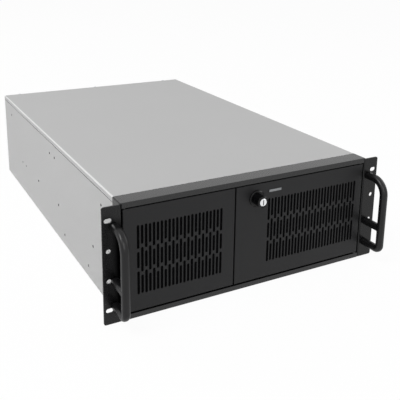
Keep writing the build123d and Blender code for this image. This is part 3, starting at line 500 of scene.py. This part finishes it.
def crisp(shape, degrees):
    """Keeps hard edges sharp on a smooth-shaded mesh."""
    for edge in shape.edges:
        edge.smooth = len(edge.link_faces) == 2 and edge.calc_face_angle(0.0) < math.radians(degrees)


def take_in(shape, other):
    """Adds another bmesh to a shape and frees it."""
    mesh = bpy.data.meshes.new("taken_in")
    other.to_mesh(mesh)
    other.free()
    shape.from_mesh(mesh)
    bpy.data.meshes.remove(mesh)


def rounded_block(size, segments, middle):
    """Small block with rounded edges round a middle point."""
    shape = bmesh.new()
    bmesh.ops.create_cube(shape, size=1.0)
    bmesh.ops.scale(shape, vec=size, verts=shape.verts)
    bmesh.ops.bevel(shape, geom=shape.edges[:], offset=SMALL_EDGE, affect="EDGES", segments=segments,
                    profile=0.5, material=-1)
    bmesh.ops.translate(shape, verts=shape.verts, vec=middle)
    return shape


def rounded_section(width, height, corner, middle, steps=4):
    """A new shape that holds a rectangle of edges with round corners, facing the front."""
    shape = bmesh.new()
    bmesh.ops.create_grid(shape, x_segments=1, y_segments=1, size=0.5)
    bmesh.ops.scale(shape, vec=(width, height, 1), verts=shape.verts)
    bmesh.ops.bevel(shape, geom=shape.verts[:], offset=corner, affect="VERTICES", segments=steps,
                    profile=0.5, material=-1)
    bmesh.ops.rotate(shape, cent=(0, 0, 0), matrix=Matrix.Rotation(math.pi / 2, 3, "X"), verts=shape.verts)
    bmesh.ops.delete(shape, geom=shape.faces[:], context="FACES_ONLY")
    bmesh.ops.translate(shape, verts=shape.verts, vec=middle)
    return shape


def loop_points(edges):
    """The points of some edges, each once."""
    return list({point for edge in edges for point in edge.verts})


def draw_out(shape, edges, step):
    """Extrudes a loop of edges and returns the new loop."""
    made = bmesh.ops.extrude_edge_only(shape, edges=edges)["geom"]
    fresh = [item for item in made if isinstance(item, bmesh.types.BMEdge)]
    bmesh.ops.translate(shape, verts=loop_points(fresh), vec=step)
    return fresh


def bend_round(shape, edges, centre, angle, steps):
    """Spins a loop of edges round an axis along X and returns the new loop."""
    made = bmesh.ops.spin(shape, geom=edges + loop_points(edges), cent=centre, axis=(1, 0, 0), dvec=(0, 0, 0),
                          angle=angle, steps=steps, use_duplicate=False)["geom_last"]
    return [item for item in made if isinstance(item, bmesh.types.BMEdge)]


def handle_shape(sizes, side):
    """D-shaped bar with three legs: section drawn out, bent twice and drawn back, with a leg between."""
    low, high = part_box(f"{side}_handle")
    section = (sizes.width, sizes.leg, sizes.edge)
    middle_x = (low.x + high.x) / 2
    top_z = high.z - sizes.leg / 2
    bottom_z = low.z + sizes.leg / 2
    line_y = low.y + sizes.leg / 2
    top_centre = (middle_x, line_y + sizes.top_bend, top_z - sizes.top_bend)
    bottom_centre = (middle_x, line_y + sizes.bottom_bend, bottom_z + sizes.bottom_bend)
    shape = rounded_section(*section, (middle_x, FRONT, top_z))
    loop = draw_out(shape, shape.edges[:], (0, top_centre[1] - FRONT, 0))
    loop = bend_round(shape, loop, top_centre, math.pi / 2, steps=14)
    loop = draw_out(shape, loop, (0, 0, bottom_centre[2] - top_centre[2]))
    loop = bend_round(shape, loop, bottom_centre, math.pi / 2, steps=8)
    draw_out(shape, loop, (0, FRONT - bottom_centre[1], 0))
    leg = rounded_section(*section, (middle_x, FRONT, sizes.middle_leg))
    draw_out(leg, leg.edges[:], (0, line_y - FRONT, 0))
    take_in(shape, leg)
    bmesh.ops.holes_fill(shape, edges=[edge for edge in shape.edges if edge.is_boundary], sides=0)
    return shape


def foam_shape(side, sizes):
    """Foam sheet with soft edges, pinched where its frame holds it and a little uneven elsewhere."""
    low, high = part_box(f"{side}_filter")
    centre = (low + high) / 2
    size = high - low
    shape = bmesh.new()
    bmesh.ops.create_grid(shape, x_segments=FOAM_FACES[0], y_segments=FOAM_FACES[1], size=0.5)
    bmesh.ops.scale(shape, vec=(size.x, size.z, 1), verts=shape.verts)
    bmesh.ops.rotate(shape, cent=(0, 0, 0), matrix=Matrix.Rotation(math.pi / 2, 3, "X"), verts=shape.verts)
    front = list(shape.verts)
    made = bmesh.ops.extrude_face_region(shape, geom=shape.faces[:])["geom"]
    back = [item for item in made if isinstance(item, bmesh.types.BMVert)]
    bmesh.ops.translate(shape, verts=back, vec=(0, size.y, 0))

    def from_edge(point):
        """Distance from a point to the nearest cut edge."""
        return min(size.x / 2 - abs(point.co.x), size.z / 2 - abs(point.co.z))

    for point in front:
        swell_x = math.sin(point.co.x * FOAM_SWELL[0])
        swell_z = math.sin(point.co.z * FOAM_SWELL[1] + 1.3)
        swell = 0.5 + 0.25 * swell_x + 0.25 * swell_z
        rounding = max(0.0, 1 - from_edge(point) / sizes.soft_edge) ** 2
        point.co.y += sizes.unevenness * swell + sizes.soft_edge * rounding
    for point in back:
        from_bar = min(abs(point.co.x), abs(point.co.z))
        held = max(1 - from_edge(point) / sizes.held_edge, 1 - from_bar / sizes.held_bar, 0.0)
        point.co.y -= sizes.pinch * min(1.0, 3 * held)
    bmesh.ops.translate(shape, verts=shape.verts, vec=(centre.x, low.y, centre.z))
    return shape


def solids_of(node):
    """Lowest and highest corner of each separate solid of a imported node."""
    shape = bmesh.new()
    shape.from_mesh(nodes[node].data)
    bmesh.ops.remove_doubles(shape, verts=shape.verts, dist=SAME_POINT)
    left = set(shape.verts)
    boxes = []
    while left:
        waiting = [left.pop()]
        found = list(waiting)
        while waiting:
            point = waiting.pop()
            for edge in point.link_edges:
                other = edge.other_vert(point)
                if other in left:
                    left.discard(other)
                    waiting.append(other)
                    found.append(other)
        corners = [[pick(point.co[axis] for point in found) for axis in range(3)] for pick in (min, max)]
        boxes.append((Vector(corners[0]), Vector(corners[1])))
    shape.free()
    return sorted(boxes, key=lambda box: tuple(round(value, 4) for value in box[0]))


def narrow(shape, edges, share):
    """Scales the points of some edges towards the Z axis."""
    bmesh.ops.scale(shape, vec=(share, share, 1), verts=loop_points(edges))


def add_shank(shape, foot, radius, shank_radius, shank_length):
    """Closes a screw head's foot with a flat underside, and a shank that hangs from it."""
    neck = draw_out(shape, foot, (0, 0, 0))
    narrow(shape, neck, shank_radius / radius)
    tail = draw_out(shape, neck, (0, 0, -shank_length))
    bmesh.ops.holes_fill(shape, edges=tail, sides=0)


def cross_head(radius, whole_length, height, shank_radius, dome):
    """Screw along Z: a round head with a cross recess, its top at z = 0 and its shank below."""
    recess_depth = 0.45 * radius
    recess_taper = 0.7
    shape = bmesh.new()
    bmesh.ops.create_grid(shape, x_segments=5, y_segments=5, size=radius)
    # Lines of the grid as shares of the radius: the inner ones move so that the middle cells form a cross.
    moved = {-1.0: -1.0, -0.6: -0.56, -0.2: -0.13, 0.2: 0.13, 0.6: 0.56, 1.0: 1.0}
    for point in shape.verts:
        point.co.x, point.co.y = (radius * moved[round(value / radius, 1)] for value in point.co.xy)
    for point in shape.verts:
        if point.is_boundary:
            point.co.xy = point.co.xy.normalized() * radius
            point.co.z = -dome
    bmesh.ops.recalc_face_normals(shape, faces=shape.faces)
    # The cross: the cells on either axis, apart from the outermost.
    cross = [face for face in shape.faces
             if min(abs(value) for value in face.calc_center_median().xy) < 0.1 * radius
             and face.calc_center_median().xy.length < 0.5 * radius]
    made = bmesh.ops.extrude_face_region(shape, geom=cross)["geom"]
    floor = [item for item in made if isinstance(item, bmesh.types.BMVert)]
    bmesh.ops.scale(shape, vec=(recess_taper, recess_taper, 1), verts=floor)
    bmesh.ops.translate(shape, verts=floor, vec=(0, 0, -recess_depth))
    bmesh.ops.delete(shape, geom=cross, context="FACES_ONLY")
    rim = [edge for edge in shape.edges if edge.is_boundary and edge.calc_length() > 0
           and all(abs(point.co.xy.length - radius) < radius * 0.01 for point in edge.verts)]
    foot = draw_out(shape, rim, (0, 0, dome - height))
    add_shank(shape, foot, radius, shank_radius, whole_length - height)
    return shape


def knurl_head(radius, whole_length, height, shank_radius, teeth):
    """Thumbscrew along Z: knurled head with bevelled ends, a turned step on top and its shank below."""
    bevel = 0.08 * radius
    groove_share = 0.93
    shape = bmesh.new()
    points = bmesh.ops.create_circle(shape, cap_ends=True, segments=teeth * 2, radius=radius)["verts"]
    # Every second point lies at the bottom of a groove.
    bmesh.ops.scale(shape, vec=(groove_share, groove_share, 1), verts=points[::2])
    top = shape.faces[:]
    bmesh.ops.inset_region(shape, faces=top, thickness=0.3 * radius)
    bmesh.ops.inset_region(shape, faces=top, thickness=0.04 * radius, depth=-bevel)
    rim = [edge for edge in shape.edges if edge.is_boundary]
    bmesh.ops.translate(shape, verts=loop_points(rim), vec=(0, 0, -bevel))
    side = draw_out(shape, rim, (0, 0, 2 * bevel - height))
    foot = draw_out(shape, side, (0, 0, -bevel))
    narrow(shape, foot, 0.9)
    add_shank(shape, foot, radius, shank_radius, whole_length - height)
    return shape


def screw_row(name, slot, node, facing, make, *measures):
    """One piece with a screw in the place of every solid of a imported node, heads facing one way."""
    axis = max(range(3), key=lambda index: facing[index])
    # The heads' width is read along X, or along Z where the screws themselves lie along X.
    across = 2 if axis == 0 else 0
    row = bmesh.new()
    for low, high in solids_of(node):
        way = Vector(facing)
        # Screws in the sides face outwards, so those on the left are turned round.
        if axis == 0 and low.x < 0:
            way = -way
        screw = make((high[across] - low[across]) / 2, high[axis] - low[axis], *measures)
        place = (low + high) / 2
        place[axis] = high[axis] if way[axis] > 0 else low[axis]
        turn = way.to_track_quat("Z", "Y").to_matrix().to_4x4()
        screw.transform(Matrix.Translation(place) @ turn)
        take_in(row, screw)
    crisp(row, 35)
    return settle(name, row, slot, "case", (node,))


def lock_axis():
    """X and Z of the axis on which the lock core turns."""
    joints = frame["record"]["behaviour"]["joints"]
    place = next(joint["pos_m"] for joint in joints if joint["name"] == "lock_turn")
    return place[0], place[2]


class CASE_OT_finish_parts(bpy.types.Operator):
    """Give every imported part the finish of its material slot, or its own"""
    bl_idname = "server_case.finish_parts"
    bl_label = "Finish the Packed Parts"

    def execute(self, context):
        finishes.update(make_finishes(context.scene.case_colours))
        for part in frame["record"]["subparts"]:
            paint(nodes[part["node"]], OWN_FINISHES.get(part["node"], part["material_slot"]))
        return {"FINISHED"}


class CASE_OT_handles(bpy.types.Operator):
    """Make the two cast handles with their legs melted into the bar"""
    bl_idname = "server_case.handles"
    bl_label = "Handles"

    def execute(self, context):
        sizes = context.scene.case_handles
        for side in ("left", "right"):
            piece = settle(f"{side}_cast_handle", handle_shape(sizes, side), "black_handle", "case",
                           (f"{side}_handle",))
            # The remesh makes one skin of bar and legs, and the smoothing rounds the seams between them.
            melt = piece.modifiers.new("Melt", "REMESH")
            melt.mode = "VOXEL"
            melt.voxel_size = sizes.grid
            melt.use_smooth_shade = True
            ease = piece.modifiers.new("Ease", "SMOOTH")
            ease.factor = 0.5
            ease.iterations = 12
        return {"FINISHED"}


class CASE_OT_plate(bpy.types.Operator):
    """Make the small bare plate beside the lock"""
    bl_idname = "server_case.plate"
    bl_label = "Bare Plate"

    def execute(self, context):
        sizes = context.scene.case_plate
        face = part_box("right_door")[0].y
        lock_x, lock_z = lock_axis()
        middle = (lock_x + sizes.aside, face - sizes.thickness / 2, lock_z + sizes.above)
        shape = rounded_block((sizes.width, sizes.thickness, sizes.height), 2, middle)
        crisp(shape, 40)
        settle("bare_plate", shape, "zinc", "right_door", finish="anodised")
        return {"FINISHED"}


class CASE_OT_foam(bpy.types.Operator):
    """Make the two foam pads that filter the air behind the vents"""
    bl_idname = "server_case.foam"
    bl_label = "Foam Pads"

    def execute(self, context):
        for side in ("left", "right"):
            shape = foam_shape(side, context.scene.case_foam)
            pad = settle(f"{side}_foam_pad", shape, "foam", f"{side}_door", (f"{side}_filter",))
        return {"FINISHED"}


class CASE_OT_screws(bpy.types.Operator):
    """Make the screws: knurled ones on the cover, cross-headed ones on the ears, handles and card slots"""
    bl_idname = "server_case.screws"
    bl_label = "Screws"

    def execute(self, context):
        sizes = context.scene.case_screws
        screw_row("thumb_screws", "zinc", "cover_thumbscrews", (0, 1, 0), knurl_head,
                  sizes.thumb_head, sizes.thumb_shank, sizes.thumb_teeth)
        screw_row("handle_screw_set", "black_screw", "handle_screws", (0, 1, 0), cross_head,
                  sizes.handle_head, sizes.handle_shank, sizes.handle_dome)
        screw_row("card_screw_set", "zinc", "card_screws", (0, 0, 1), cross_head,
                  sizes.card_head, sizes.card_shank, sizes.card_dome)
        # The heads in the sides are flat, so they have no dome.
        screw_row("ear_screw_set", "black_screw", "ear_screws", (1, 0, 0), cross_head,
                  sizes.ear_head, sizes.ear_shank, 0.0)
        return {"FINISHED"}


class CASE_OT_lock_shutter(bpy.types.Operator):
    """Make the sprung shutter inside the key slot"""
    bl_idname = "server_case.lock_shutter"
    bl_label = "Lock Shutter"

    def execute(self, context):
        sizes = context.scene.case_shutter
        lock_x, lock_z = lock_axis()
        middle = (lock_x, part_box("lock_core")[0].y + sizes.setback, lock_z)
        shape = rounded_block((sizes.width, sizes.depth, sizes.height), 3, middle)
        # The shutter is dark in place of the chrome of its slot: painted shade inside the key slot.
        settle("lock_shutter", shape, "chrome", "lock_core", finish="black_screw")
        return {"FINISHED"}


def seen_directly(tree):
    """1 for rays from the camera, from reflections and through clear pieces, 0 for rays that carry light."""
    ray = add_node(tree, "ShaderNodeLightPath")
    seen = calculated(tree, "MAXIMUM", ray.outputs["Is Camera Ray"], ray.outputs["Is Glossy Ray"])
    return calculated(tree, "MAXIMUM", seen, ray.outputs["Is Transmission Ray"])


def pale_floor():
    """Matt white paper: seen as white by the camera and in reflections, with the shadow of the case kept."""
    finish, tree, shader, where = new_finish("matt_white_paper", Roughness=0.9)
    fibre = noise(tree, where, 3.0, detail=3.0)
    feed(tree, shader, mixed(tree, fibre, opaque(linear("#F4F4F4")), opaque(linear("#FAFAFA"))))
    share = calculated(tree, "MULTIPLY", seen_directly(tree), FLOOR_WHITE)
    white = add_node(tree, "ShaderNodeEmission", {"Strength": 1.0})
    both = add_node(tree, "ShaderNodeMixShader", {0: share, 1: shader.outputs[0], 2: white.outputs[0]})
    tree.links.new(both.outputs[0], tree.nodes["Material Output"].inputs["Surface"])
    return finish


def lay_floor(scene):
    """The floor that the case stands on."""
    shape = bmesh.new()
    bmesh.ops.create_grid(shape, x_segments=4, y_segments=4, size=FLOOR_HALF)
    mesh = bpy.data.meshes.new("floor")
    shape.to_mesh(mesh)
    shape.free()
    floor = bpy.data.objects.new("floor", mesh)
    scene.collection.objects.link(floor)
    floor.location.z = -FLOOR_GAP
    mesh.materials.append(pale_floor())


def white_world(scene):
    """Plain surroundings: white where the camera or a reflection sees them, dimmer as light."""
    world = bpy.data.worlds.new("white_surroundings")
    world.use_nodes = True
    tree = world.node_tree
    level = ranged(tree, seen_directly(tree), wanted=(SKY_LIGHT, 1.0))
    sky = tree.nodes["Background"]
    sky.inputs["Color"].default_value = (1.0, 1.0, 1.0, 1.0)
    tree.links.new(level, sky.inputs["Strength"])
    scene.world = world


def soft_lamp(scene, name, place, size, power):
    """Square soft box aimed at the middle of the case."""
    light = bpy.data.lights.new(name, "AREA")
    light.shape = "SQUARE"
    light.size = size
    light.energy = power
    lamp = bpy.data.objects.new(name, light)
    lamp.location = place
    aim = LAMP_TARGET - Vector(place)
    lamp.rotation_euler = aim.to_track_quat("-Z", "Y").to_euler()
    scene.collection.objects.link(lamp)


def photo_camera(scene):
    """The camera that looks as the photo does."""
    view = bpy.data.cameras.new("photo_view")
    view.lens = CAMERA_LENS
    view.sensor_width = 36.0
    view.shift_y = CAMERA_SHIFT
    view.clip_start = 0.05
    view.clip_end = 60.0
    camera = bpy.data.objects.new("photo_view", view)
    camera.location = CAMERA_PLACE
    camera.rotation_euler = [math.radians(angle) for angle in CAMERA_TURN]
    scene.collection.objects.link(camera)
    scene.camera = camera


class CASE_OT_stage(bpy.types.Operator):
    """Make the floor, the soft lamps, the white surroundings and the camera"""
    bl_idname = "server_case.stage"
    bl_label = "Stage"

    def execute(self, context):
        lay_floor(context.scene)
        white_world(context.scene)
        for name, (place, size, power) in LAMPS.items():
            soft_lamp(context.scene, name, place, size, power)
        photo_camera(context.scene)
        context.scene.view_settings.view_transform = "Standard"
        return {"FINISHED"}


class CASE_PT_panel(bpy.types.Panel):
    """Lists the pieces of the server case"""
    bl_idname = "CASE_PT_panel"
    bl_label = "Server Case"
    bl_space_type = "VIEW_3D"
    bl_region_type = "UI"
    bl_category = "Server Case"

    def draw(self, context):
        for operator in OPERATORS:
            self.layout.operator(operator.bl_idname)
        for group in GROUPS:
            box = self.layout.box()
            settings = getattr(context.scene, group)
            for name in settings.bl_rna.properties.keys():
                if name not in ("rna_type", "name"):
                    box.prop(settings, name)


GROUPS = {"case_colours": CaseColours, "case_handles": HandleSizes, "case_plate": PlateSizes,
          "case_foam": FoamSizes, "case_screws": ScrewSizes, "case_shutter": ShutterSizes}
OPERATORS = (CASE_OT_finish_parts, CASE_OT_handles, CASE_OT_plate, CASE_OT_foam, CASE_OT_screws,
             CASE_OT_lock_shutter, CASE_OT_stage)


def register():
    """Adds the settings, the operators and the panel."""
    for group in GROUPS.values():
        bpy.utils.register_class(group)
    for name, group in GROUPS.items():
        setattr(bpy.types.Scene, name, PointerProperty(type=group))
    for operator in OPERATORS:
        bpy.utils.register_class(operator)
    bpy.utils.register_class(CASE_PT_panel)


def unregister():
    """Takes out what register added, in the opposite order."""
    bpy.utils.unregister_class(CASE_PT_panel)
    for operator in reversed(OPERATORS):
        bpy.utils.unregister_class(operator)
    for name in GROUPS:
        delattr(bpy.types.Scene, name)
    for group in GROUPS.values():
        bpy.utils.unregister_class(group)


def main():
    """Makes every piece and the stage."""
    register()
    bpy.ops.server_case.finish_parts()
    bpy.ops.server_case.handles()
    bpy.ops.server_case.plate()
    bpy.ops.server_case.foam()
    bpy.ops.server_case.screws()
    bpy.ops.server_case.lock_shutter()
    bpy.ops.server_case.stage()


if __name__ == "__main__":
    main()
